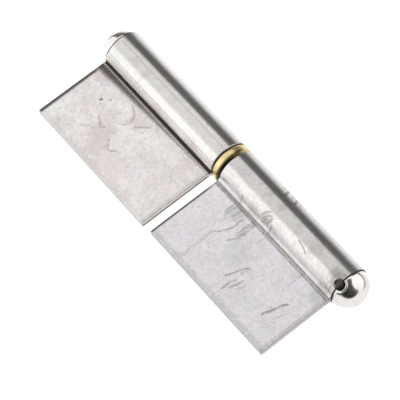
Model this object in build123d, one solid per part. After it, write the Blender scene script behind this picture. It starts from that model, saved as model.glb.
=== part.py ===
from build123d import *
from math import acos, asin, cos, degrees, radians, sin, sqrt
import os

# Lift-off flag hinge for welding on: two rolled sheet leaves, a headed pin, a headed plug and a brass ring.
#
# Sizes are in millimetres. Each piece is first made about the pin: Z runs up the pin's axis from the middle
# of the brass ring, X points to the leaves' outer edges, and -Y is the front that shows the lower leaf's
# seam. At the end everything moves so that the middle of the lower leaf's weld face is the origin.

# Sheet and knuckles
sheet_thickness = 2.5
knuckle_diameter = 15.0
knuckle_length = 58.0
knuckle_edge_round = 0.3
seam_gap = 0.9
seam_corner_round = 0.4
root_bend_radius = 2.5

# Leaves
leaf_reach = 36.45
leaf_offset = 0.8
ring_end_setback = 0.3
leaf_corner_radius = 0.4
rollover_radius = 0.35
burr_side_round = 0.2

# Pin, plug and their domed heads
pin_clearance = 0.05
pin_tip_chamfer = 1.2
pin_tip_clearance = 4.0
plug_depth = 12.0
plug_tip_chamfer = 0.8
head_setback = 0.3
head_rim_height = 0.6
head_rim_round = 0.25
head_height = 6.6

# Stake that holds each head: a punch mark across the joint, and the groove its inner bulge fills
stake_angle = 27.4
stake_width = 4.1
stake_depth = 1.1
stake_bulge = 0.4
groove_depth = 0.5
groove_width = 2.2
lip_radius = 0.45

# Brass ring
washer_thickness = 4.2
washer_bore_clearance = 0.1
washer_rim_radius = 1.2
washer_bore_chamfer = 0.3

# How far off an edge's position or radius may be and still be the one meant
match_tolerance = 0.01

knuckle_radius = knuckle_diameter / 2
bore_radius = knuckle_radius - sheet_thickness
pin_radius = bore_radius - pin_clearance
head_radius = knuckle_radius - head_setback
leaf_front_y = leaf_offset - sheet_thickness / 2
leaf_back_y = leaf_offset + sheet_thickness / 2
washer_face_z = washer_thickness / 2
head_face_z = washer_face_z + knuckle_length
pin_tip_z = head_face_z - plug_depth - pin_tip_clearance

# The root bend's centre touches the leaf's back and the outside of the knuckle
bend_y = leaf_back_y + root_bend_radius
bend_x = sqrt((knuckle_radius + root_bend_radius) ** 2 - bend_y**2)
bend_turn = degrees(acos(bend_y / (knuckle_radius + root_bend_radius)))

leaf_height = knuckle_length - ring_end_setback
leaf_middle_x = (bend_x + leaf_reach) / 2
leaf_middle_z = leaf_height / 2 - head_face_z
weld_face_centre = Vector(leaf_middle_x, leaf_back_y, leaf_middle_z)


def knuckle_section():
    """Section of the knuckle, from where the root bend touches it round to the free end at the seam."""
    root_angle = 90 - bend_turn
    free_angle = -degrees(asin((seam_gap - leaf_front_y) / knuckle_radius))
    roll = 360 - root_angle + free_angle
    free_corner = (knuckle_radius * cos(radians(free_angle)), knuckle_radius * sin(radians(free_angle)))
    free_inside = (bore_radius * cos(radians(free_angle)), bore_radius * sin(radians(free_angle)))
    root_corner = (knuckle_radius * cos(radians(root_angle)), knuckle_radius * sin(radians(root_angle)))
    root_inside = (bore_radius * cos(radians(root_angle)), bore_radius * sin(radians(root_angle)))
    with BuildLine() as outline:
        CenterArc((0, 0), knuckle_radius, root_angle, roll)
        Line(free_corner, free_inside)
        CenterArc((0, 0), bore_radius, free_angle, -roll)
        Line(root_inside, root_corner)
    return make_face(outline.edges())


def rolled_knuckle():
    """The knuckle over its full length, with its edges broken."""
    knuckle = Pos(0, 0, -head_face_z) * extrude(knuckle_section(), knuckle_length)
    seam_corner = knuckle.edges().filter_by(Axis.Z).sort_by(lambda edge: (edge @ 0).Y)[0]
    knuckle = fillet(seam_corner, seam_corner_round)
    rims = [
        edge
        for edge in knuckle.edges().filter_by(GeomType.CIRCLE)
        if abs(edge.radius - knuckle_radius) < match_tolerance
    ]
    return fillet(rims, knuckle_edge_round)


def root_bend():
    """The bend between the knuckle and the leaf, rolled over at both ends like the leaf."""
    front_radius = root_bend_radius + sheet_thickness
    with BuildLine() as outline:
        front = CenterArc((bend_x, bend_y), front_radius, -90, -bend_turn)
        back = CenterArc((bend_x, bend_y), root_bend_radius, -90, -bend_turn)
        Line(front @ 0, back @ 0)
        Line(front @ 1, back @ 1)
    bend = Pos(0, 0, -head_face_z) * extrude(make_face(outline.edges()), leaf_height)
    for arc_radius, radius in ((front_radius, rollover_radius), (root_bend_radius, burr_side_round)):
        ends = [
            edge
            for edge in bend.edges().filter_by(GeomType.CIRCLE)
            if abs(edge.radius - arc_radius) < match_tolerance
        ]
        bend = fillet(ends, radius)
    return bend


def leaf_plate():
    """The flat leaf from the root bend outwards. A sheared blank is rolled over round its seam side."""
    plate = Box(leaf_reach - bend_x, sheet_thickness, leaf_height)
    plate = Pos(leaf_middle_x, leaf_offset, leaf_middle_z) * plate
    corners = plate.edges().filter_by(Axis.Y).group_by(Axis.X)[-1]
    plate = fillet(corners, leaf_corner_radius)
    for face_y, radius in ((leaf_front_y, rollover_radius), (leaf_back_y, burr_side_round)):
        rim = [edge for edge in plate.edges() if abs(edge.center().Y - face_y) < match_tolerance]
        outline = [edge for edge in rim if edge.center().X > bend_x + match_tolerance]
        plate = fillet(outline, radius)
    return plate


def stake_ball(radius_growth=0.0):
    """The punch's round nose where it struck the lower half, across the joint of knuckle and head."""
    ball_radius = ((stake_width / 2) ** 2 + stake_depth**2) / (2 * stake_depth)
    distance = knuckle_radius - stake_depth + ball_radius
    spot = (distance * sin(radians(stake_angle)), distance * cos(radians(stake_angle)), -head_face_z)
    return Pos(*spot) * Sphere(ball_radius + radius_growth)


def stake_lip():
    """The metal that the punch raised round its mark, on the head's side of the joint."""
    outward = Vector(sin(radians(stake_angle)), cos(radians(stake_angle)), 0)
    centre = outward * (head_radius - lip_radius / 2) + Vector(0, 0, -head_face_z)
    ring = Plane(centre, x_dir=(0, 0, 1), z_dir=outward) * Torus((stake_width + lip_radius) / 2, lip_radius)
    below = (Align.CENTER, Align.CENTER, Align.MAX)
    head_side = Pos(0, 0, -head_face_z) * Cylinder(knuckle_radius, head_height, align=below)
    return ring & head_side


def stake_bulge_in_bore():
    """The knuckle's wall that the punch pushed into the groove under the head."""
    wall_left = sheet_thickness - stake_depth
    swollen = stake_ball(radius_growth=wall_left + stake_bulge)
    above = (Align.CENTER, Align.CENTER, Align.MIN)
    groove_span = Pos(0, 0, -head_face_z) * Cylinder(bore_radius, groove_width, align=above)
    return swollen & groove_span


def rolled_leaf():
    """One stamping in the lower half's place. The upper half is the same one turned end for end."""
    leaf = rolled_knuckle() + root_bend() + leaf_plate() - stake_ball() + stake_bulge_in_bore()
    return leaf.solid()


def headed_shank(shank_top_z, tip_chamfer):
    """The domed head under the lower knuckle and its shank, up to the given height."""
    under_z = -head_face_z
    rim_z = under_z - head_rim_height
    crown_z = under_z - head_height
    dome_rise = head_height - head_rim_height
    dome_radius = (head_radius**2 + dome_rise**2) / (2 * dome_rise)
    half_turn = asin(head_radius / dome_radius) / 2
    dome_middle = (dome_radius * sin(half_turn), crown_z + dome_radius * (1 - cos(half_turn)))
    with BuildLine() as outline:
        ThreePointArc((0, crown_z), dome_middle, (head_radius, rim_z))
        Polyline(
            (head_radius, rim_z),
            (head_radius, under_z),
            (pin_radius - groove_depth, under_z),
            (pin_radius - groove_depth, under_z + groove_width),
            (pin_radius, under_z + groove_width + groove_depth),
            (pin_radius, shank_top_z - tip_chamfer),
            (pin_radius - tip_chamfer, shank_top_z),
            (0, shank_top_z),
            (0, crown_z),
        )
    section = make_face(outline.edges())
    rim_corners = section.vertices().group_by(Axis.X)[-1]
    section = fillet(rim_corners.sort_by(Axis.Y)[-1], head_rim_round)
    return revolve(Plane.XZ * section, Axis.Z)


def staked_shank(shank_top_z, tip_chamfer):
    """A headed shank with its share of the punch mark and the lip round it."""
    shank = headed_shank(shank_top_z, tip_chamfer) + stake_lip() - stake_ball()
    return shank.solid()


def brass_ring():
    """The bearing ring between the knuckles, with a full round rim."""
    ring_bore = pin_radius + washer_bore_clearance
    ring_wall = knuckle_radius - ring_bore
    section = Pos(ring_bore + ring_wall / 2, 0) * Rectangle(ring_wall, washer_thickness)
    rim_corners = section.vertices().group_by(Axis.X)[-1]
    section = fillet(rim_corners, washer_rim_radius)
    bore_corners = section.vertices().group_by(Axis.X)[0]
    section = chamfer(bore_corners, washer_bore_chamfer)
    return revolve(Plane.XZ * section, Axis.Z)


def turned_over(piece):
    """A lower piece turned half round the X axis, which puts it in the upper half's place."""
    return Rot(180, 0, 0) * piece


pieces = {
    "lower_leaf": rolled_leaf(),
    "upper_leaf": turned_over(rolled_leaf()),
    "pin": staked_shank(pin_tip_z, pin_tip_chamfer),
    "end_plug": turned_over(staked_shank(-head_face_z + plug_depth, plug_tip_chamfer)),
    "washer": brass_ring(),
}

os.makedirs("parts", exist_ok=True)
for name, piece in pieces.items():
    export_step(Pos(*-weld_face_centre) * piece, f"parts/{name}.step")
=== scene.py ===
"""Looks of a weld-on flag hinge: camera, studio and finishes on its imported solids."""

import logging
import math
from dataclasses import dataclass
from enum import Enum
from functools import partial, reduce
from typing import ClassVar, Iterable, Sequence

import bpy
from mathutils import Matrix, Vector

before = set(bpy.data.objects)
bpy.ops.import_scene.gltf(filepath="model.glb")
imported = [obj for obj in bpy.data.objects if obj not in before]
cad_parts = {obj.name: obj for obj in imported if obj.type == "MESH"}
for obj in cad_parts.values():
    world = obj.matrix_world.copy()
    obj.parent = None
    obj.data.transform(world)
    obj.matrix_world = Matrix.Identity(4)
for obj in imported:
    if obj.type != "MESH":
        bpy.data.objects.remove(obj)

log = logging.getLogger("flag_hinge")

Socket = bpy.types.NodeSocket
Source = Socket | float | tuple[float, ...]
Colour = tuple[float, float, float]
Place = tuple[float, float]
Place3 = tuple[float, float, float]

MM = 0.001
# The solids' origin on the lower leaf's weld face, measured like all places here in millimetres from
# the pin's axis at the middle of the brass ring
ORIGIN = Vector((22.67746, 2.05, -31.25))


def from_pin(x: float, y: float, z: float) -> Vector:
    """Turns a point measured from the pin's axis, in millimetres, into the solids' own metres.

    Args:
        x: Distance from the pin's axis towards the leaves' outer edges.
        y: Distance from the pin's axis towards the back.
        z: Height above the middle of the brass ring.

    Returns:
        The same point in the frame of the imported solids.
    """
    return (Vector((x, y, z)) - ORIGIN) * MM


class Half(Enum):
    """Which half of the hinge a leaf belongs to, with the sign of its y and z against the lower half's."""

    LOWER = 1.0
    UPPER = -1.0


class Recipe:
    """The node tree of one material, written as calls that return sockets."""

    def __init__(self, name: str) -> None:
        """Starts an empty material.

        Args:
            name: The material's name.
        """
        self.material = bpy.data.materials.new(name)
        self.material.use_nodes = True
        self.tree = self.material.node_tree
        self.tree.nodes.clear()

    def node(self, kind: str, inputs: dict[str | int, Source], **settings: object) -> bpy.types.Node:
        """Adds a node, sets its options and fills or links its inputs.

        Args:
            kind: The node's type name after ShaderNode.
            inputs: Input name or number, and a value or a socket to link.
            **settings: Options of the node itself.

        Returns:
            The new node.
        """
        made = self.tree.nodes.new(f"ShaderNode{kind}")
        for option, value in settings.items():
            setattr(made, option, value)
        for key, value in inputs.items():
            if isinstance(value, Socket):
                self.tree.links.new(value, made.inputs[key])
            else:
                made.inputs[key].default_value = value
        return made

    def math(self, operation: str, a: Source, b: Source = 0.0, c: Source = 0.0) -> Socket:
        """One Math node on up to three values."""
        return self.node("Math", {0: a, 1: b, 2: c}, operation=operation).outputs[0]

    def chain(self, operation: str, values: Iterable[Source]) -> Socket:
        """One operation from the first of several values to the last."""
        return reduce(partial(self.math, operation), values)

    def times(self, *factors: Source) -> Socket:
        """The product of several values."""
        return self.chain("MULTIPLY", factors)

    def plus(self, *values: Source) -> Socket:
        """The sum of several values."""
        return self.chain("ADD", values)

    def most(self, *values: Source) -> Socket:
        """The highest of several values."""
        return self.chain("MAXIMUM", values)

    def minus(self, a: Source, b: Source) -> Socket:
        """The first value without the second."""
        return self.math("SUBTRACT", a, b)

    def line(self, value: Source, slope: Source, offset: Source) -> Socket:
        """A value times the slope, plus the offset."""
        return self.math("MULTIPLY_ADD", value, slope, offset)

    def vector(self, operation: str, a: Source, b: Source) -> Socket:
        """One Vector Math node that gives a vector."""
        return self.node("VectorMath", {0: a, 1: b}, operation=operation).outputs[0]

    def measure(self, operation: str, a: Source, b: Source = (0.0, 0.0, 0.0)) -> Socket:
        """One Vector Math node that gives a number."""
        return self.node("VectorMath", {0: a, 1: b}, operation=operation).outputs["Value"]

    def scaled(self, vector: Source, factor: Source) -> Socket:
        """A vector or colour times one number."""
        return self.node("VectorMath", {0: vector, 3: factor}, operation="SCALE").outputs[0]

    def join(self, x: Source, y: Source, z: Source = 0.0) -> Socket:
        """A vector from its three parts."""
        return self.node("CombineXYZ", {0: x, 1: y, 2: z}).outputs[0]

    def split(self, vector: Socket) -> tuple[Socket, Socket, Socket]:
        """The three parts of a vector."""
        parts = self.node("SeparateXYZ", {0: vector}).outputs
        return parts[0], parts[1], parts[2]

    def step(self, value: Source, low: float, high: float, base: float = 0.0, top: float = 1.0) -> Socket:
        """A smooth step, level at both ends.

        Args:
            value: What is mapped.
            low: Where the step starts. It may lie above high.
            high: Where the step ends.
            base: The value at low.
            top: The value at high.

        Returns:
            The stepped value.
        """
        bounds = {0: value, 1: low, 2: high, 3: base, 4: top}
        return self.node("MapRange", bounds, interpolation_type="SMOOTHSTEP", clamp=False).outputs[0]

    def band(self, value: Source, rise: Place, fall: Place, top: float = 1.0) -> Socket:
        """A smooth step up and a smooth step down again.

        Args:
            value: What is mapped.
            rise: Where the step up starts and ends.
            fall: Outer and inner end of the step down.
            top: The value between the steps. It is 0 outside them.

        Returns:
            The stepped value.
        """
        return self.times(self.step(value, *rise, top=top), self.step(value, *fall))

    def drawn(self, marks: Sequence["Mark"], place: Socket) -> Socket:
        """The deepest of several marks at each place on a face."""
        return self.chain("MAXIMUM", (mark.mask(self, place) for mark in marks))

    def noise(self, vector: Socket, scale: float, detail: float = 3.0, roughness: float = 0.5) -> Socket:
        """Noise of about one lump in 1/scale millimetres, from 0 to 1."""
        inputs = {"Vector": vector, "Scale": scale, "Detail": detail, "Roughness": roughness}
        return self.node("TexNoise", inputs).outputs[0]

    def stretched(
        self, vector: Socket, turn: float, along: float, across: float, shift: float = 0.0
    ) -> Socket:
        """Coordinates that draw a texture out into streaks.

        Args:
            vector: Coordinates in millimetres.
            turn: The streaks' direction in degrees, in the first two coordinates.
            along: Scale along the streaks.
            across: Scale across them.
            shift: Moves the pattern, so that two layers differ.

        Returns:
            The turned and scaled coordinates.
        """
        turned = self.node("Mapping", {0: vector, 2: (0.0, 0.0, math.radians(-turn))})
        drawn_out = {0: turned.outputs[0], 1: (shift,) * 3, 3: (along, across, 1.0)}
        return self.node("Mapping", drawn_out).outputs[0]

    def tint(self, base: Source, colour: Source, amount: Source, blend: str = "MIX") -> Socket:
        """Lays a colour over another one.

        Args:
            base: The colour underneath.
            colour: The colour laid over it.
            amount: How much of it shows, from 0 to 1.
            blend: The blend mode.

        Returns:
            The blended colour.
        """
        values = {0: amount, 6: base, 7: colour}
        inputs = {key: (*value, 1.0) if isinstance(value, tuple) else value for key, value in values.items()}
        return self.node("Mix", inputs, data_type="RGBA", blend_type=blend).outputs[2]


class PinRecipe(Recipe):
    """A material that knows the place from the pin's axis, in millimetres.

    Attributes:
        colour: The colour so far.
        place: That place.
        normal: The surface's own normal.
        x: Distance from the pin towards the leaves' outer edges.
        y: Distance from the pin towards the back.
        z: Height above the middle of the ring.
    """

    def __init__(self, name: str, tone: Colour) -> None:
        """Starts the material with its place.

        Args:
            name: The material's name.
            tone: The metal's colour, before anything is laid over it.
        """
        super().__init__(name)
        self.colour: Source = tone
        source = self.node("TexCoord", {}).outputs
        inputs = {0: source["Object"], 1: tuple(ORIGIN), 3: (1.0 / MM,) * 3}
        self.place = self.node("Mapping", inputs).outputs[0]
        self.normal = source["Normal"]
        self.x, self.y, self.z = self.split(self.place)

    def lay(self, colour: Source, amount: Source) -> None:
        """Lays a colour over the colour so far, by an amount from 0 to 1."""
        self.colour = self.tint(self.colour, colour, amount)

    def metal(self, roughness: Socket, height: Socket, metallic: Source = 1.0) -> bpy.types.Material:
        """Finishes the material as bare metal with a relief.

        Args:
            roughness: The metal's roughness.
            height: The relief in millimetres.
            metallic: Where the metal is bare, from 0 to 1. Dirt, painted shade, a painted sheen or a duller
                edge covers it elsewhere.

        Returns:
            The finished material.
        """
        bump = self.node("Bump", {"Strength": 1.0, "Distance": MM, "Height": height}).outputs[0]
        inputs = {"Base Color": self.colour, "Roughness": roughness, "Metallic": metallic, "Normal": bump}
        shader = self.node("BsdfPrincipled", inputs)
        self.node("OutputMaterial", {0: shader.outputs[0]})
        return self.material

    def from_axis(self) -> Socket:
        """The distance from the pin's axis."""
        return self.measure("LENGTH", self.join(self.x, self.y))


@dataclass(frozen=True)
class Stamping:
    """Sizes of the rolled sheet that both halves are made of, in the lower half's place."""

    knuckle_radius: float = 7.5
    knuckle_length: float = 58.0
    ring_face_z: float = 2.1
    leaf_end_z: float = 2.4
    bend_x: float = 8.9
    seam_side_y: float = -0.45
    thickness: float = 2.5
    reach: float = 36.45
    stake: Place3 = (3.42, 6.6, -60.1)

    @property
    def head_end_z(self) -> float:
        """Where the knuckle ends by the head."""
        return self.ring_face_z + self.knuckle_length


@dataclass(frozen=True)
class Scratch:
    """A scratch along a line of points on a face, all in millimetres. A broad one also serves as a band of
    painted shade.

    The points give the place across the face, which is x on a leaf and the arc from the front on a
    knuckle, and the height z. Its core is the share of the width that has the full depth.
    """

    points: tuple[Place, ...]
    width: float
    depth: float
    core: ClassVar[float] = 0.2

    def mask(self, recipe: Recipe, place: Socket) -> Socket:
        """The scratch's depth at a place on the face, 0 beside it and `depth` along its middle."""
        ends = zip(self.points, self.points[1:])
        return recipe.chain("MAXIMUM", (self._stroke(recipe, place, start, end) for start, end in ends))

    def _stroke(self, recipe: Recipe, place: Socket, start: Place, end: Place) -> Socket:
        """Draws the scratch from one of its points to the next.

        Args:
            recipe: The material's node tree.
            place: The place on the face.
            start: The first point.
            end: The next point.

        Returns:
            The stroke's depth.
        """
        span = Vector((end[0] - start[0], end[1] - start[1], 0.0))
        offset = recipe.vector("SUBTRACT", place, (*start, 0.0))
        along = recipe.measure("DOT_PRODUCT", offset, tuple(span))
        share = recipe.most(recipe.math("DIVIDE", along, span.length_squared), 0.0)
        foot = recipe.scaled(tuple(span), recipe.math("MINIMUM", share, 1.0))
        distance = recipe.measure("DISTANCE", offset, foot)
        return recipe.step(distance, self.width, self.width * self.core, top=self.depth)


@dataclass(frozen=True)
class Pit:
    """A round pit or speck on a face, in millimetres."""

    place: Place
    radius: float
    depth: float
    core: ClassVar[float] = 0.3

    def mask(self, recipe: Recipe, place: Socket) -> Socket:
        """Its depth at a place on the face, 0 outside it and `depth` in its core."""
        distance = recipe.measure("DISTANCE", place, (*self.place, 0.0))
        return recipe.step(distance, self.radius, self.radius * self.core, top=self.depth)


@dataclass(frozen=True)
class Stain(Pit):
    """A softer stain, also used as a patch of painted shade. A place that wanders makes its outline ragged.
    """

    core: ClassVar[float] = 0.45


Mark = Scratch | Pit | Stain


def scratches(*rows: tuple) -> tuple[Scratch, ...]:
    """Scratches from rows that give the width, the depth and then the points."""
    return tuple(Scratch(tuple(points), width, depth) for width, depth, *points in rows)


def spots(kind: type[Pit], *rows: tuple[float, float, float, float]) -> tuple[Pit, ...]:
    """Pits or stains from rows that give both parts of the place, the radius and the depth."""
    return tuple(kind((across, z), radius, depth) for across, z, radius, depth in rows)


@dataclass(frozen=True)
class SheetEdges:
    """Looks of a stamping's sheared edges and of the margins beside them, dulled by wear.

    The far and the near end are the leaf's ends as the camera sees them. The tearing starts at
    `torn_from`, a share of the thickness. The line, the band and the margin are dark strips.
    """

    end_sheared: Colour
    end_torn: Colour
    torn_from: float
    outer: Colour
    far_line: float
    far_width: float
    near_band: float
    outer_margin: Colour
    outer_band: float


# Layers of scuffs: their direction in degrees, and their scale along and across it
SCUFFS = ((42.0, 0.22, 2.9), (-44.0, 0.25, 3.1), (80.0, 0.3, 2.8), (8.0, 0.4, 3.2))


@dataclass(frozen=True)
class SheetFinish:
    """Rolled stainless sheet, stained and scratched, with duller sheared edges.

    The knuckle has the leaf's colour times `knuckle_tone`, and the leaf's grain times `knuckle_grain`.
    `cast` is the strength of the clouds of red, green and blue, `lean` the relief in millimetres that
    leans the knuckle's face, and `seed` moves the patterns.
    """

    name: str
    half: Half
    tone: Colour
    knuckle_tone: Colour
    stain: Colour
    tarnish: Colour
    smudge: Colour
    shadow: Colour
    grain: float
    fine: float
    weave: float
    knuckle_grain: float
    cast: Colour
    lean: float
    edges: SheetEdges
    leaf_marks: tuple[Mark, ...]
    leaf_stains: tuple[Stain, ...]
    knuckle_marks: tuple[Mark, ...]
    knuckle_stains: tuple[Stain, ...]
    seed: float
    sizes: Stamping = Stamping()
    # A lighter colour painted along the knuckle by the seam: a painted sheen.
    wear_and_sheen: Colour = (0.84, 0.785, 0.725)
    rust: Colour = (0.05, 0.032, 0.03)
    halo: Colour = (0.3, 0.23, 0.225)
    # Laid in the joints with the head and the ring, and as painted shade as well in the seam and inside the
    # roll.
    grime_and_shade: Colour = (0.085, 0.066, 0.062)
    # Laid on the dark margins along the leaf's edges, and as the painted shade and painted reflection by the
    # root.
    soot_and_shade: Colour = (0.045, 0.034, 0.034)

    def build(self) -> bpy.types.Material:
        """Makes the material of the whole stamping."""
        return SheetRecipe(self).painted()


class SheetRecipe(PinRecipe):
    """A material that also knows the place on the stamping, which is the same for both halves.

    Attributes:
        side: Distance from the pin towards the weld face, -0.45 on the seam side and 2.05 on the other.
        height: Distance from the middle of the ring, up or down.
        on_leaf: Where the leaf is, from 0 to 1.
        arc: The way round the knuckle from the front.
        across: The place across the sheet: x on the leaf and the arc on the knuckle.
        sheet: The place on the sheet: `across`, z and, on the leaf, y.
    """

    def __init__(self, look: SheetFinish) -> None:
        """Starts the material with its places.

        Args:
            look: What it is to look like.
        """
        super().__init__(look.name, look.tone)
        self.look, self.half, self.sizes = look, look.half, look.sizes
        x, y, sizes = self.x, self.y, self.sizes
        self.height = self.math("ABSOLUTE", self.z)
        self.side = y if self.half is Half.LOWER else self.times(y, -1.0)
        self.on_leaf = self.step(x, sizes.bend_x - 0.9, sizes.bend_x + 0.1)
        self.arc = self.times(self.math("ARCTAN2", x, self.times(y, -1.0)), sizes.knuckle_radius)
        self.across = self.plus(self.arc, self.times(self.on_leaf, self.minus(x, self.arc)))
        self.sheet = self.join(self.across, self.z, self.times(y, self.on_leaf))

    def shaken(self, wander: Socket, over: float, up: float) -> Socket:
        """The place on the face, moved about.

        Args:
            wander: A wandering value round 0.
            over: Millimetres across the sheet for a value of one.
            up: Millimetres in height for a value of one.

        Returns:
            The way across and the height.
        """
        return self.join(self.line(wander, over, self.across), self.line(wander, up, self.z))

    def painted(self) -> bpy.types.Material:
        """Finishes the material.

        Returns:
            The material, for the whole stamping.
        """
        hatch, woven = self._hatch()
        self._stained_tone(woven)
        self.lay(self.look.shadow, self.times(hatch, 0.2))
        self._marked()
        self._worn_margins()
        # Painted shade and painted reflection along both sides of the root.
        self._paint_root_shade()
        edge = self._sheared_edge()
        pit, halo = self._stake_dirt()
        self.lay(self.look.halo, halo)
        self.lay(self.look.rust, pit)
        # Dark joints with the head and the ring, and painted shade in the seam and inside the roll.
        dirt_and_shade, joint = self._gap_dirt_and_shade()
        self.lay(self.look.grime_and_shade, dirt_and_shade)
        self.lay(self.look.rust, joint)
        # Painted sheen along the knuckle by the seam.
        sheen_strip = self._paint_sheen_strip()
        self.lay(self.look.wear_and_sheen, sheen_strip)

        # Dark joints, painted shade, the painted sheen and the sheared edges are not bare metal.
        covered = self.most(self.times(edge, 0.75), sheen_strip, dirt_and_shade)
        dull = self.times(self.most(covered, pit), 0.6)
        roughness = self.most(self.line(hatch, 0.08, 0.2), dull)
        relief = self.minus(self.times(hatch, -0.003), self._flared_bend())
        relief = self.plus(relief, self.step(self.arc, 0.0, 7.0, top=self.look.lean))
        return self.metal(roughness, relief, metallic=self.minus(1.0, covered))

    def _hatch(self) -> tuple[Socket, Socket]:
        """Fine short scuffs in four directions, thicker in some places than in others.

        Returns:
            The scuffs, from 0 to 1, and the weave of all their directions, round 2.
        """
        streaks = []
        for turn, along, across in SCUFFS:
            drawn_out = self.stretched(self.sheet, turn, along, across, turn + self.look.seed)
            streaks.append(self.noise(drawn_out, 1.0, 2.0))
        scuffs = self.chain("MAXIMUM", (self.step(streak, 0.57, 0.74) for streak in streaks))
        wear_and_sheen = self.noise(self.vector("ADD", self.sheet, (self.look.seed + 9.0,) * 3), 0.12, 2.0)
        return self.times(scuffs, self.step(wear_and_sheen, 0.4, 0.62, base=0.25)), self.plus(*streaks)

    def _stained_tone(self, woven: Socket) -> None:
        """The sheet's broad colour: stain, tarnish, tide lines, colour cast and grain.

        Args:
            woven: The weave of the scuffs' directions, round 2.
        """
        shifted = self.vector("ADD", self.place, (self.look.seed,) * 3)
        blotch = self.noise(shifted, 0.075, 5.0, 0.58)
        cloud = self.noise(shifted, 0.17, 4.0, 0.6)
        self.lay(self.look.stain, self.step(blotch, 0.48, 0.66, top=0.35))
        self.lay(self.look.tarnish, self.step(cloud, 0.5, 0.7, top=0.35))
        tide = self.step(self.math("ABSOLUTE", self.minus(blotch, 0.55)), 0.02, 0.0, top=0.1)
        self.lay(self.look.shadow, self.times(tide, self.step(cloud, 0.4, 0.55)))
        inputs = {"Vector": shifted, "Scale": 0.22, "Detail": 3.0, "Roughness": 0.65}
        clouds = self.node("TexNoise", inputs).outputs[1]
        inputs = {0: clouds, 1: self.look.cast, 2: tuple(1.0 - share / 2.0 for share in self.look.cast)}
        cast = self.node("VectorMath", inputs, operation="MULTIPLY_ADD").outputs[0]
        self.colour = self.vector("MULTIPLY", self.colour, cast)
        grain = self._grain(woven)
        on_knuckle = self.tint(self.colour, self.look.knuckle_tone, 1.0, "MULTIPLY")
        self.colour = self.scaled(self.tint(on_knuckle, self.colour, self.on_leaf), grain)

    def _grain(self, woven: Socket) -> Socket:
        """The sheet's grain: coarse, fine and woven.

        Args:
            woven: The weave of the scuffs' directions, round 2.

        Returns:
            Its brightness, round 1.
        """
        coarse = self.noise(self.sheet, 0.55, 4.0, 0.92)
        fine = self.noise(self.sheet, 2.3, 1.0, 0.8)
        grain = self.plus(
            self.line(coarse, self.look.grain, -self.look.grain / 2.0),
            self.line(fine, self.look.fine, -self.look.fine / 2.0),
            self.line(woven, self.look.weave, -2.0 * self.look.weave),
        )
        share = self.line(self.on_leaf, 1.0 - self.look.knuckle_grain, self.look.knuckle_grain)
        return self.line(grain, share, 1.0)

    def _marked(self) -> None:
        """Lays the stains, scratches and pits on the face that the camera sees, with the patches and bands
        of painted shade listed among them.
        """
        seam_side, weld_side = self.sizes.seam_side_y, self.sizes.seam_side_y + self.sizes.thickness
        front = seam_side if self.half is Half.LOWER else -weld_side
        leaf = self.times(self.on_leaf, self.step(self.y, front + 1.1, front + 0.8))
        knuckle = self.minus(1.0, self.on_leaf)
        wander = self.minus(self.noise(self.sheet, 0.45, 5.0, 0.72), 0.5)
        ragged = self.shaken(wander, 8.0, -6.0)
        stains = self.times(self.drawn(self.look.leaf_stains, ragged), leaf)
        on_knuckle = self.times(self.drawn(self.look.knuckle_stains, ragged), knuckle)
        self.lay(self.look.smudge, self.most(stains, on_knuckle))

        marks = self.times(self.drawn(self.look.leaf_marks, self.shaken(wander, 1.3, -1.9)), leaf)
        broken = self.step(self.noise(self.sheet, 1.7, 2.0), 0.36, 0.6, base=0.46)
        marks = self.times(marks, broken)
        steady = self.shaken(wander, 0.5, 0.0)
        on_knuckle = self.times(self.drawn(self.look.knuckle_marks, steady), knuckle)
        broken = self.step(self.noise(self.sheet, 2.2, 1.0), 0.35, 0.58, base=0.55)
        self.lay(self.look.shadow, self.most(marks, self.times(on_knuckle, broken)))

    def _worn_margins(self) -> None:
        """Darkens the leaf along its edges, where the blank was sheared and handled."""
        x, height, sizes, edges = self.x, self.height, self.sizes, self.look.edges
        on_leaf = self.step(x, sizes.bend_x - 0.3, sizes.bend_x + 0.5)
        ragged = self.noise(self.sheet, 0.9, 3.0, 0.7)
        strewn = self.step(ragged, 0.3, 0.68, base=0.35, top=1.15)
        uneven = self.line(ragged, 1.0, -0.5)
        inwards = self.half.value
        near_end, far_end = sizes.leaf_end_z, sizes.head_end_z
        if self.half is Half.UPPER:
            near_end, far_end = far_end, near_end

        from_near = self.line(height, inwards, -inwards * near_end)
        near = self.step(self.plus(from_near, uneven), 1.9, 0.9, top=edges.near_band)
        margin = self.step(self.plus(x, uneven), sizes.reach - 2.4, sizes.reach - 1.3)
        margin = self.times(margin, edges.outer_band, strewn)
        self.lay(edges.outer_margin, margin)
        from_far = self.line(height, -inwards, inwards * far_end)
        far = self.step(self.line(uneven, 0.3, from_far), edges.far_width, edges.far_width * 0.42)
        line = self.times(far, self.step(x, 9.5, 13.5, base=edges.far_line * 0.4, top=edges.far_line))
        dark = self.times(self.most(self.times(near, strewn), line), on_leaf)
        self.lay(self.look.soot_and_shade, dark)

    def _paint_root_shade(self) -> None:
        """Paints shade on both sides of the root: a painted reflection of the dark card along the flared
        bend by the seam, painted shade in the crease on the weld side, and soft painted shade on the seam
        side of the leaf next to the root.
        """
        x, side, height = self.x, self.side, self.height
        # Painted reflection of the dark card along the flared bend, weaker where x is below 8.9.
        flare = self.line(height, self.line(height, 0.0003, 0.02), self.sizes.bend_x)
        past = self.math("DIVIDE", self.minus(x, flare), self.line(height, 0.016, 0.35))
        deep = self.step(height, 0.0, 54.0, base=0.54, top=0.88)
        light_line = self.times(self.step(x, 8.9, 8.65), self.minus(0.36, deep))
        bend = self.times(self.step(past, 1.1, -0.8), self.plus(deep, light_line))
        bend = self.times(bend, self.step(side, 1.0, 0.6), self.step(x, 7.4, 7.5))

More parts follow.
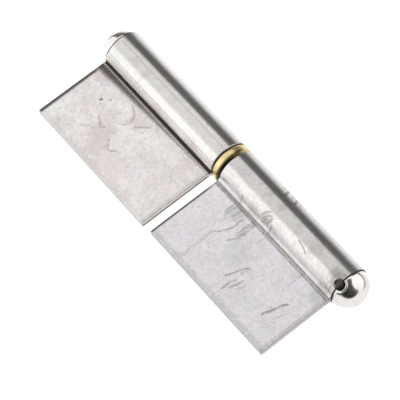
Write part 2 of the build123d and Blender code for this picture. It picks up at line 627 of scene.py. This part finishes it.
        # Painted shade in the crease on the weld side.
        crease = self.times(self.band(x, (7.62, 7.9), (9.7, 9.0)), self.step(side, 1.2, 1.6))
        speckle = self.step(self.noise(self.sheet, 0.8, 4.0, 0.8), 0.32, 0.7, base=0.36, top=0.74)
        speckle = self.times(speckle, self.step(x, 8.1, 8.6, base=0.8))
        between = self.step(self.math("ABSOLUTE", self.minus(x, 8.62)), 0.3, 0.12)
        between = self.times(between, self.step(height, 14.0, 30.0, top=0.55))
        crease = self.times(crease, speckle, self.minus(1.0, between))
        # Soft painted shade on the seam side of the leaf next to the root.
        root_shade = self.times(self.step(x, 14.0, 9.5, top=0.11), self.step(side, 1.0, 0.6))
        root_shade = self.times(root_shade, self.step(x, 7.4, 8.6))
        self.lay(self.look.soot_and_shade, self.most(bend, crease, root_shade))

    def _sheared_edge(self) -> Socket:
        """Lays the look of the sheared blank on the leaf's three outer edges.

        Returns:
            Where the edges are, from 0 to 1.
        """
        x, side, sizes, edges = self.x, self.side, self.sizes, self.look.edges
        outwards, facing, _ = self.split(self.normal)
        turned = self.step(self.math("ABSOLUTE", facing), 0.97, 0.72)
        edge = self.times(turned, self.step(x, sizes.bend_x - 0.4, sizes.bend_x + 0.2))
        share = self.math("DIVIDE", self.minus(side, sizes.seam_side_y), sizes.thickness)
        along = self.join(self.times(x, 1.2), self.times(side, 0.35), self.times(self.z, 1.2))
        tear = self.noise(along, 1.0, 4.0, 0.65)
        torn = self.plus(share, self.times(self.minus(tear, 0.5), 0.22))
        torn = self.step(torn, edges.torn_from - 0.12, edges.torn_from + 0.12)
        end = self.tint(edges.end_sheared, edges.end_torn, torn)
        face = self.tint(end, edges.outer, self.step(outwards, 0.4, 0.8))
        face = self.tint(face, edges.end_torn, self.step(tear, 0.45, 0.75, top=0.25))
        self.lay(face, edge)
        return edge

    def _stake_dirt(self) -> tuple[Socket, Socket]:
        """Rust in this half's share of the punch mark, and the stained sheet round it.

        Returns:
            Where the rust is, and where the stain round it is, each from 0 to 1.
        """
        x, y, z = self.sizes.stake
        spot = (x, y * self.half.value, z * self.half.value)
        distance = self.measure("DISTANCE", self.place, spot)
        distance = self.line(self.noise(self.place, 1.0, 3.0, 0.6), 1.5, distance)
        specks = self.step(self.noise(self.place, 1.9, 1.0), 0.5, 0.62)
        specks = self.times(specks, self.step(distance, 1.5, 2.2, base=0.1, top=0.75))
        pit = self.times(self.step(distance, 3.1, 2.3, top=0.97), self.minus(1.0, specks))
        patches = self.step(self.noise(self.place, 1.1, 4.0, 0.78), 0.38, 0.58, base=0.12)
        arcs = self.math("SINE", self.times(distance, 7.0))
        patches = self.times(patches, self.step(arcs, -0.5, 0.8, base=0.5))
        return pit, self.times(self.step(distance, 6.4, 3.2), patches)

    def _gap_dirt_and_shade(self) -> tuple[Socket, Socket]:
        """Darkening in the joints with the head and the ring, in the seam and inside the roll. Dirt darkens
        all of them, and painted shade adds to it in the seam and inside the roll.

        Returns:
            Where it is darkened, and where it is darkest by the head, each from 0 to 1.
        """
        x, side, height, sizes = self.x, self.side, self.height, self.sizes
        head = self.step(height, sizes.head_end_z - 0.4, sizes.head_end_z - 0.22)
        ring = self.step(height, sizes.ring_face_z + 0.13, sizes.ring_face_z - 0.01)
        radius = self.from_axis()
        on_end = self.step(radius, 7.75, 7.55)
        joint = self.times(head, on_end)
        not_leaf = self.step(x, sizes.bend_x + 0.1, sizes.bend_x - 0.3)
        # Inside the roll and in the seam the darkening is painted shade as well.
        inside = self.step(radius, sizes.knuckle_radius - 0.25, sizes.knuckle_radius - 0.55)
        inside = self.times(inside, not_leaf)
        seam = self.times(self.step(x, 8.32, 8.0), self.step(side, 0.9, 0.6))
        seam = self.times(seam, self.step(side, -0.75, -0.65), self.step(x, 6.0, 6.2))
        return self.most(joint, self.times(ring, on_end), inside, seam), joint

    def _paint_sheen_strip(self) -> Socket:
        """Where a painted sheen lightens the knuckle along the seam, from 0 to 1, more towards the head."""
        strip = self.times(self.step(self.x, 6.0, 6.6), self.step(self.side, -0.85, -1.1))
        return self.times(strip, self.step(self.height, 20.0, 50.0, top=0.8))

    def _flared_bend(self) -> Socket:
        """How far the seam side dips towards the seam where the root bend flares out near the head.

        Returns:
            The dip in millimetres.
        """
        start = self.line(self.height, 0.045, self.sizes.bend_x)
        reach = self.most(self.x, self.sizes.bend_x - 0.4)
        into = self.most(self.minus(start, reach), 0.0)
        dip = self.math("DIVIDE", self.times(into, into), 30.0)
        return self.times(dip, self.step(self.side, 0.9, 0.6))


@dataclass(frozen=True)
class Joint:
    """Darkening by a joint: clean at one height, full at the other, both in millimetres. Dirt in a joint and
    painted shade beside one both use it.
    """

    clean: float
    full: float
    both_ends: bool = False
    from_x: float = -99.0


@dataclass(frozen=True)
class TurnedFinish:
    """A turned and polished metal, with fine rings round the pin's axis and darkened joints.

    The stakes are the middles of the punch marks. Inside `clean_inside` no joint is darkened. Dirt darkens
    the joints, and on the brass ring painted shade darkens one side as well.
    """

    name: str
    tone: Colour
    shadow: Colour
    roughness: float
    ring_scale: float
    joints: tuple[Joint, ...]
    dirt_and_shade: Colour
    stakes: tuple[Place3, ...] = ()
    clean_inside: float = 5.2

    def build(self) -> bpy.types.Material:
        """Makes the material.

        Returns:
            The material of the turned piece.
        """
        recipe = PinRecipe(self.name, self.tone)
        place, radius = recipe.place, recipe.from_axis()
        rings = recipe.noise(recipe.scaled(recipe.join(radius, recipe.z), self.ring_scale), 1.0, 3.0)
        cloud = recipe.noise(place, 0.3, 3.0)
        scuff = recipe.step(recipe.noise(recipe.stretched(place, 20.0, 0.2, 2.4), 1.0, 2.0), 0.6, 0.75)
        recipe.lay(self.shadow, recipe.step(rings, 0.45, 0.8, top=0.2))
        recipe.lay(self.shadow, recipe.step(cloud, 0.45, 0.75, top=0.22))
        recipe.lay(self.shadow, recipe.times(scuff, 0.16))
        for joint in self.joints:
            height = recipe.math("ABSOLUTE", recipe.z) if joint.both_ends else recipe.z
            joint_darkening = recipe.times(
                recipe.step(height, joint.clean, joint.full),
                recipe.step(recipe.x, joint.from_x, joint.from_x + 3.0),
                recipe.step(radius, self.clean_inside, self.clean_inside + 0.4),
            )
            recipe.lay(self.dirt_and_shade, joint_darkening)
        for stake in self.stakes:
            distance = recipe.measure("DISTANCE", place, stake)
            distance = recipe.line(recipe.noise(place, 1.2, 2.0), 0.6, distance)
            # Dirt fills the punch mark. The fainter ring over its lip dims the lip's highlight and is partly
            # painted shade.
            recipe.lay(self.dirt_and_shade, recipe.step(distance, 2.4, 2.1))
            recipe.lay(self.dirt_and_shade, recipe.step(distance, 3.6, 2.7, top=0.42))
        roughness = recipe.step(cloud, 0.3, 0.7, base=self.roughness, top=self.roughness + 0.08)
        return recipe.metal(roughness, recipe.times(recipe.minus(rings, scuff), 0.0015))


LOWER_SHEET = SheetFinish(
    name="lower_sheet",
    half=Half.LOWER,
    tone=(0.726, 0.697, 0.69),
    knuckle_tone=(0.858, 0.872, 0.863),
    stain=(0.6, 0.535, 0.53),
    tarnish=(0.66, 0.64, 0.59),
    smudge=(0.46, 0.345, 0.335),
    shadow=(0.16, 0.13, 0.13),
    grain=0.8,
    fine=0.42,
    weave=0.2,
    knuckle_grain=0.68,
    cast=(0.17, 0.11, 0.15),
    lean=0.19,
    edges=SheetEdges(
        end_sheared=(0.66, 0.62, 0.58),
        end_torn=(0.12, 0.1, 0.085),
        torn_from=0.53,
        outer=(0.6, 0.58, 0.57),
        far_line=0.92,
        far_width=1.9,
        near_band=0.2,
        outer_margin=(0.5, 0.475, 0.46),
        outer_band=0.45,
    ),
    seed=3.0,
    leaf_marks=scratches(
        (0.42, 0.36, (28.6, -45.2), (27.6, -44.4), (26.8, -43.6)),
        (0.66, 0.48, (22.3, -44.2), (23.4, -42.6), (24.4, -40.8), (23.6, -39.7)),
        (0.58, 0.46, (11.5, -39.4), (12.4, -37.5), (13.6, -36.0), (15.2, -35.5), (16.6, -35.1)),
        (0.52, 0.36, (19.4, -37.6), (18.6, -36.8), (17.6, -35.4)),
        (0.55, 0.44, (15.9, -32.6), (14.0, -31.0), (12.2, -29.0)),
        (0.6, 0.42, (25.4, -35.0), (27.1, -33.7), (27.9, -32.0), (27.4, -30.7), (25.9, -29.7)),
    ) + spots(
        Pit,
        (17.9, -49.1, 0.85, 1.0), (15.5, -46.6, 0.58, 0.7), (26.6, -42.6, 0.5, 0.4),
        (23.6, -41.4, 0.46, 0.36), (28.2, -33.6, 0.5, 0.34), (16.8, -36.6, 0.46, 0.32),
        (19.1, -48.1, 0.42, 0.5), (18.6, -41.6, 0.38, 0.4), (16.3, -54.3, 0.35, 0.3),
        (33.5, -52.4, 0.6, 0.4), (32.6, -49.2, 0.5, 0.3), (33.8, -15.6, 0.5, 0.3),
    ),
    leaf_stains=spots(
        Stain,
        (25.6, -38.8, 6.4, 0.42), (19.0, -41.2, 4.4, 0.28), (13.6, -33.8, 4.4, 0.26),
        (37.0, -32.0, 19.0, 0.17), (22.0, -8.0, 19.0, 0.09), (30.4, -35.8, 6.0, 0.34),
        # (11.6, -56.0) is painted shade in the corner by the root and the head.
        (29.2, -27.5, 4.2, 0.22), (11.6, -56.0, 4.4, 0.36), (33.5, -50.5, 4.5, 0.2),
        (34.0, -14.5, 3.4, 0.22), (24.4, -7.6, 4.6, 0.14), (33.5, -22.5, 4.6, 0.16),
    ),
    knuckle_marks=scratches(
        (0.17, 0.62, (0.12, -58.9), (0.15, -40.0), (0.28, -3.4)),
        (0.32, 0.24, (6.45, -59.6), (6.6, -34.0), (6.75, -4.0)),
        (0.24, 0.18, (7.0, -52.0), (7.15, -24.0)), (0.28, 0.35, (0.9, -39.9), (0.5, -38.5)),
        (0.3, 0.6, (-1.6, -13.9), (-1.1, -13.3)),
    ) + spots(Pit, (6.3, -2.9, 0.6, 0.6)),
    knuckle_stains=spots(
        Stain,
        (2.2, -49.5, 3.0, 0.26), (1.9, -42.0, 2.4, 0.22), (1.4, -35.5, 2.2, 0.18), (1.0, -28.4, 1.5, 0.22),
        (8.3, -32.0, 3.0, 0.3), (8.4, -12.0, 4.0, 0.36),
    ),
)

UPPER_SHEET = SheetFinish(
    name="upper_sheet",
    half=Half.UPPER,
    tone=(0.66, 0.635, 0.654),
    knuckle_tone=(0.873, 0.877, 0.838),
    stain=(0.59, 0.585, 0.555),
    tarnish=(0.61, 0.57, 0.615),
    smudge=(0.285, 0.295, 0.262),
    shadow=(0.13, 0.11, 0.12),
    grain=0.66,
    fine=0.34,
    weave=0.14,
    knuckle_grain=1.15,
    cast=(0.09, 0.08, 0.17),
    lean=-0.24,
    edges=SheetEdges(
        end_sheared=(0.5, 0.47, 0.48),
        end_torn=(0.39, 0.36, 0.36),
        torn_from=0.8,
        outer=(0.46, 0.45, 0.44),
        far_line=0.9,
        far_width=1.1,
        near_band=0.29,
        outer_margin=(0.43, 0.44, 0.405),
        outer_band=0.62,
    ),
    seed=17.0,
    leaf_marks=scratches(
        (0.46, 0.6, (11.0, 19.3), (15.5, 19.3), (17.5, 18.5), (19.5, 17.4), (20.6, 16.3)),
        (0.62, 0.56, (8.8, 22.2), (12.0, 22.3), (14.8, 22.0)), (1.5, 0.44, (8.8, 22.9), (15.0, 22.8)),
        (0.5, 0.6, (8.8, 23.7), (12.5, 23.8), (15.5, 23.5), (17.5, 22.9), (19.3, 21.9)),
        (0.3, 0.28, (12.8, 24.6), (17.0, 23.8)),
        (1.05, 0.24, (21.2, 16.1), (25.0, 15.9), (33.2, 16.2), (36.0, 14.0)),
        (0.58, 0.52, (8.8, 12.9), (13.2, 13.0)), (0.4, 0.4, (8.8, 14.2), (14.0, 14.0)),
        (0.55, 0.34, (8.8, 16.6), (12.4, 16.2)), (0.5, 0.22, (8.8, 29.2), (13.0, 29.2)),
        (0.27, 0.5, (8.8, 47.6), (15.2, 47.6)),
        (0.72, 0.64, (19.4, 52.6), (20.8, 51.9), (23.5, 51.2), (27.6, 49.9)),
        (0.4, 0.24, (20.6, 55.3), (25.4, 54.0)),
        (0.58, 0.6, (20.7, 34.4), (21.8, 33.6), (24.5, 32.6), (27.9, 31.5)),
        (0.46, 0.38, (20.3, 35.0), (23.8, 34.3)),
        (0.66, 0.52, (25.0, 36.8), (27.0, 36.3), (29.6, 35.6)),
        (0.6, 0.5, (26.2, 35.0), (28.0, 34.2), (31.8, 34.0)),
        (0.4, 0.36, (25.4, 38.7), (29.0, 37.4)), (0.3, 0.2, (17.2, 39.9), (22.3, 38.0)),
        (0.26, 0.22, (17.0, 38.0), (20.0, 37.0)), (0.3, 0.36, (28.1, 6.4), (30.2, 6.1)),
        (0.26, 0.24, (20.5, 13.7), (24.0, 13.2)),
    ) + spots(
        Pit,
        (34.1, 35.6, 0.48, 0.75), (32.8, 34.8, 0.38, 0.5), (17.2, 47.9, 0.45, 0.75),
        (23.9, 49.8, 0.46, 0.8), (25.6, 19.8, 0.45, 0.4), (18.9, 6.0, 0.35, 0.55),
    ),
    leaf_stains=spots(
        Stain,
        (11.2, 16.2, 4.2, 0.34), (10.4, 56.5, 3.6, 0.3), (10.4, 46.0, 2.6, 0.16), (20.0, 28.0, 6.5, 0.16),
    ),
    knuckle_marks=scratches(
        # The first row is no scratch but a broad band of painted shade along the knuckle beside the crease.
        (1.7, 0.19, (9.2, 3.0), (9.2, 59.5)),
        (0.38, 0.78, (3.3, 39.3), (3.5, 41.0), (4.1, 42.8), (4.8, 44.0)),
        (0.55, 0.52, (6.9, 13.6), (10.0, 14.2)), (0.38, 0.32, (7.8, 12.3), (9.6, 12.9)),
        (0.55, 0.52, (7.4, 22.2), (10.0, 22.5)), (0.52, 0.6, (7.0, 28.6), (9.6, 28.9)),
        (0.46, 0.52, (3.6, 25.2), (4.4, 24.2), (6.3, 23.4)),
        (0.5, 0.56, (4.2, 26.6), (5.2, 25.4), (7.0, 24.3)),
        (0.5, 0.64, (4.8, 27.4), (6.2, 27.0), (7.4, 26.6)), (0.46, 0.55, (6.2, 25.6), (8.4, 24.8)),
        (0.4, 0.28, (7.4, 19.6), (9.2, 18.8)), (0.8, 0.86, (-11.4, 20.6), (-8.0, 22.2), (-4.8, 23.4)),
        (0.84, 0.86, (-11.4, 25.0), (-8.0, 26.6), (-4.8, 28.0)), (0.5, 0.62, (-10.8, 23.0), (-6.2, 25.4)),
        (0.42, 0.52, (-11.0, 18.8), (-6.8, 20.8)), (0.4, 0.5, (-10.8, 27.0), (-6.0, 29.2)),
        (0.34, 0.4, (-9.4, 28.2), (-5.6, 29.8)), (0.3, 0.4, (0.4, 55.6), (3.7, 55.3)),
        (0.3, 0.36, (0.8, 57.0), (3.2, 57.3)), (0.34, 0.44, (-0.8, 58.8), (1.2, 59.2)),
        (0.4, 0.42, (4.8, 58.3), (9.5, 58.2)), (0.45, 0.34, (7.6, 56.6), (9.9, 57.5)),
    ),
    knuckle_stains=spots(
        Stain,
        (1.6, 56.6, 3.2, 0.44), (2.6, 57.8, 3.4, 0.66), (-0.2, 27.0, 1.9, 0.34), (-0.2, 19.9, 1.5, 0.26),
        (1.4, 45.4, 3.4, 0.26), (0.8, 36.0, 3.0, 0.16), (6.2, 25.2, 3.4, 0.46), (7.9, 19.4, 3.2, 0.36),
        (8.0, 30.0, 3.2, 0.26), (8.2, 14.0, 2.4, 0.28), (7.2, 9.5, 2.6, 0.14), (0.6, 8.0, 3.4, 0.14),
        (8.8, 56.2, 3.4, 0.4),
    ),
)

POLISHED_STEEL = TurnedFinish(
    name="polished_steel",
    tone=(0.86, 0.838, 0.812),
    shadow=(0.45, 0.43, 0.42),
    roughness=0.12,
    ring_scale=1.8,
    joints=(Joint(60.42, 60.26, both_ends=True),),
    dirt_and_shade=(0.022, 0.018, 0.018),
    stakes=((3.42, -6.6, 60.1), (3.42, 6.6, -60.1)),
)

TURNED_BRASS = TurnedFinish(
    name="turned_brass",
    tone=(0.785, 0.64, 0.345),
    shadow=(0.46, 0.31, 0.12),
    roughness=0.28,
    ring_scale=3.0,
    # The first joint is painted shade and painted reflection on the ring's side towards the upper knuckle,
    # past x = -5.4; the second is the dark joint with the lower knuckle.
    joints=(Joint(0.0, 0.9, from_x=-5.4), Joint(-1.5, -2.05)),
    dirt_and_shade=(0.105, 0.075, 0.03),
)


@dataclass(frozen=True)
class PhotoCamera:
    """The camera at the photograph's place, for a square frame."""

    place: Place3 = (186.548, -692.037, 328.741)
    looking: Place3 = (-0.217161, 0.883354, -0.415364)
    upwards: Place3 = (-0.58905, -0.457899, -0.665844)
    focal_pixels: float = 2366.25
    frame_pixels: float = 400.0
    sensor: float = 36.0

    def build(self) -> bpy.types.Object:
        """Adds the camera and makes it the scene's.

        Returns:
            The camera.
        """
        bpy.ops.object.camera_add(location=from_pin(*self.place))
        camera = bpy.context.object
        camera.name = "photo_camera"
        forward = Vector(self.looking).normalized()
        right = forward.cross(Vector(self.upwards)).normalized()
        turned = Matrix((right, right.cross(forward), -forward)).transposed()
        camera.rotation_euler = turned.to_euler()
        camera.data.sensor_width = self.sensor
        camera.data.lens = self.focal_pixels / self.frame_pixels * self.sensor
        camera.data.clip_start = 0.01
        camera.data.clip_end = 100.0
        bpy.context.scene.camera = camera
        return camera


@dataclass(frozen=True)
class Stand:
    """Where a card or lamp stands that faces the middle of the hinge.

    Attributes:
        azimuth: From the front towards the leaves, in degrees.
        elevation: Above the horizon, in degrees.
        distance: Metres from the middle of the hinge.
    """

    azimuth: float
    elevation: float
    distance: float

    def placed(self) -> tuple[Vector, Place3]:
        """Its location, and its rotation with local Z away from the hinge."""
        turn, rise = math.radians(self.azimuth), math.radians(self.elevation)
        away = Vector((math.sin(turn) * math.cos(rise), -math.cos(turn) * math.cos(rise), math.sin(rise)))
        return from_pin(0.0, 0.0, 0.0) + away * self.distance, tuple(away.to_track_quat("Z", "Y").to_euler())


class Card(Recipe):
    """A round card that only reflections see, and the material on it.

    Attributes:
        card: The card itself.
        x: The place on it in metres.
        y: The same, the other way.
        radius: The distance from its middle.
    """

    def __init__(
        self, name: str, size: float, location: Vector, rotation: Place3 = (0.0, 0.0, 0.0), corners: int = 96
    ) -> None:
        """Adds the card and starts its material.

        Args:
            name: The name of both.
            size: The card's radius in metres.
            location: Its middle.
            rotation: Its rotation.
            corners: Corners of its outline.
        """
        super().__init__(name)
        bpy.ops.mesh.primitive_circle_add(
            vertices=corners, radius=size, fill_type="NGON", location=location, rotation=rotation
        )
        self.card = bpy.context.object
        self.card.name = name
        place = self.node("TexCoord", {}).outputs["Object"]
        self.x, self.y, _ = self.split(place)
        self.radius = self.measure("LENGTH", place)

    def show(self, dark: Socket, glow: Source = 0.0, grey: float = 0.14) -> None:
        """Finishes the card.

        Args:
            dark: Where the card is, from 0 to 1. It is clear elsewhere.
            glow: Light that the card gives off.
            grey: How much light its dark part throws back.
        """
        clear = self.node("BsdfTransparent", {}).outputs[0]
        dull = self.node("BsdfDiffuse", {"Color": (grey, grey, grey, 1.0)}).outputs[0]
        mixed = self.node("MixShader", {0: dark, 1: clear, 2: dull}).outputs[0]
        light = self.node("Emission", {"Strength": glow}).outputs[0]
        both = self.node("AddShader", {0: mixed, 1: light}).outputs[0]
        self.node("OutputMaterial", {0: both})
        card = self.card
        card.data.materials.append(self.material)
        card.visible_camera = False
        card.visible_diffuse = False
        card.visible_shadow = False
        card.visible_transmission = False


@dataclass(frozen=True)
class Studio:
    """White surroundings, a pale floor, one soft lamp and the dark cards that the metal reflects."""

    floor_z: float = -0.33
    floor_size: float = 40.0
    floor_white: float = 0.9
    floor_lift: float = 0.16
    low_card_z: float = -0.27
    low_card_radius: float = 1.6
    high_card_radius: float = 1.9
    high_card_stand: Stand = Stand(22.0, 40.0, 1.3)
    side_card_radius: float = 0.54
    side_card_stand: Stand = Stand(66.0, 8.0, 1.3)
    disc_radius: float = 0.94
    disc_stand: Stand = Stand(-55.0, 34.0, 0.84)
    disc_glow: float = 1.06
    black: float = 0.02
    lamp_width: float = 0.5
    lamp_height: float = 0.8
    lamp_stand: Stand = Stand(-47.0, 34.0, 0.85)
    lamp_power: float = 1.6

    def build(self) -> None:
        """Builds the world, the floor, the cards and the lamp."""
        self._world()
        self._floor()
        self._low_card()
        self._high_card()
        self._side_card()
        self._bright_disc()
        self._lamp()

    def _world(self) -> None:
        """A plain white world."""
        world = bpy.data.worlds.new("white_room")
        world.use_nodes = True
        background = world.node_tree.nodes["Background"]
        background.inputs["Color"].default_value = (1.0, 1.0, 1.0, 1.0)
        background.inputs["Strength"].default_value = 1.0
        bpy.context.scene.world = world

    def _floor(self) -> None:
        """The pale floor, lifted a little for camera and reflection so that it meets the white room."""
        bpy.ops.mesh.primitive_plane_add(size=self.floor_size, location=(0.0, 0.0, self.floor_z))
        floor = bpy.context.object
        floor.name = "floor"
        recipe = Recipe("pale_floor")
        white = recipe.node("BsdfDiffuse", {"Color": (*[self.floor_white] * 3, 1.0)})
        rays = recipe.node("LightPath", {}).outputs
        seen = recipe.most(rays["Is Camera Ray"], rays["Is Glossy Ray"])
        lift = recipe.node("Emission", {"Strength": recipe.times(seen, self.floor_lift)})
        both = recipe.node("AddShader", {0: white.outputs[0], 1: lift.outputs[0]})
        recipe.node("OutputMaterial", {0: both.outputs[0]})
        floor.data.materials.append(recipe.material)

    def _low_card(self) -> None:
        """The card under the hinge: the dark stripe down the knuckles and the brighter sectors beside it."""
        middle = from_pin(0.0, 0.0, 0.0)
        card = Card("low_card", self.low_card_radius, Vector((middle.x, middle.y, self.low_card_z)))
        radius = card.radius
        azimuth = card.times(card.math("ARCTAN2", card.x, card.times(card.y, -1.0)), 180.0 / math.pi)
        sharp_side = card.step(radius, 0.15, 0.5, base=-8.0, top=-39.0)
        soft_side = card.step(radius, 0.12, 0.4, base=-78.0, top=-92.5)
        before = card.step(card.minus(azimuth, sharp_side), 5.0, -5.0)
        after = card.step(card.minus(azimuth, soft_side), -18.0, 20.0)
        dark = card.times(before, after, card.step(radius, 1.55, 1.3))
        dark = card.most(dark, card.step(radius, 0.07, 0.0, top=0.6))

        outer = card.step(radius, 0.36, 0.44, top=0.64)
        bright = card.times(card.band(azimuth, (31.0, 39.0), (87.0, 77.0)), outer)
        beside = card.step(azimuth, 112.0, 100.0, top=0.28)
        faint = card.times(beside, card.step(azimuth, -12.0, 12.0, top=0.13))
        side_glow = card.times(beside, card.step(azimuth, 60.0, 80.0))
        behind = card.times(card.band(azimuth, (98.0, 112.0), (165.0, 150.0)), 0.4)
        wing = card.band(azimuth, (-152.0, -132.0), (-98.0, -114.0), top=0.15)
        lit = card.most(bright, faint, side_glow, behind, wing)
        card.show(dark, card.times(lit, card.step(radius, 0.15, 0.25)))

    def _high_card(self) -> None:
        """The dark room in front of the hinge and above it that the near head reflects."""
        card = Card("high_card", self.high_card_radius, *self.high_card_stand.placed())
        fade = card.step(card.radius, self.high_card_radius, 1.35)
        card.show(card.times(fade, card.step(card.x, -1.1, 0.9, base=0.89)), grey=self.black)

    def _side_card(self) -> None:
        """The dark end of the room beside the near head, past the leaves' outer edges."""
        card = Card("side_card", self.side_card_radius, *self.side_card_stand.placed(), corners=64)
        card.show(card.step(card.radius, self.side_card_radius, 0.4), grey=self.black)

    def _bright_disc(self) -> None:
        """The lamp's front as the near head reflects it, with the dark line of its rim."""
        card = Card("bright_disc", self.disc_radius, *self.disc_stand.placed())
        front = card.step(card.radius, 0.59, 0.56)
        turned_away = card.step(card.line(card.y, 0.5, card.x), -0.15, -0.65)
        rim = card.times(card.step(card.radius, 0.92, 0.72), card.step(front, 0.3, 0.0))
        covered = card.most(front, card.times(rim, turned_away))
        card.show(covered, card.times(front, self.disc_glow))

    def _lamp(self) -> None:
        """The soft lamp beside the camera."""
        location, rotation = self.lamp_stand.placed()
        bpy.ops.object.light_add(type="AREA", location=location, rotation=rotation)
        lamp = bpy.context.object
        lamp.name = "soft_lamp"
        lamp.data.shape = "RECTANGLE"
        lamp.data.size = self.lamp_width
        lamp.data.size_y = self.lamp_height
        lamp.data.energy = self.lamp_power
        lamp.visible_glossy = False


FINISHES = {
    "lower_leaf": LOWER_SHEET,
    "upper_leaf": UPPER_SHEET,
    "pin": POLISHED_STEEL,
    "end_plug": POLISHED_STEEL,
    "washer": TURNED_BRASS,
}


@dataclass(frozen=True)
class Hinge:
    """The hinge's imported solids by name."""

    nodes: dict[str, bpy.types.Object]

    def dress(self, finishes: dict[str, SheetFinish | TurnedFinish]) -> None:
        """Gives each solid its material.

        Args:
            finishes: The finish of each solid.
        """
        made: dict[str, bpy.types.Material] = {}
        for name, finish in finishes.items():
            if finish.name not in made:
                made[finish.name] = finish.build()
            for slot in self.nodes[name].material_slots:
                slot.material = made[finish.name]
            log.info("%s dressed in %s", name, finish.name)


def main() -> None:
    """Builds the scene in order."""
    logging.basicConfig(level=logging.INFO, format="%(message)s")
    bpy.ops.object.select_all(action="DESELECT")
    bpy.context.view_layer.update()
    PhotoCamera().build()
    Studio().build()
    Hinge(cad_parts).dress(FINISHES)
    bpy.context.scene.view_settings.view_transform = "Standard"


if __name__ == "__main__":
    main()
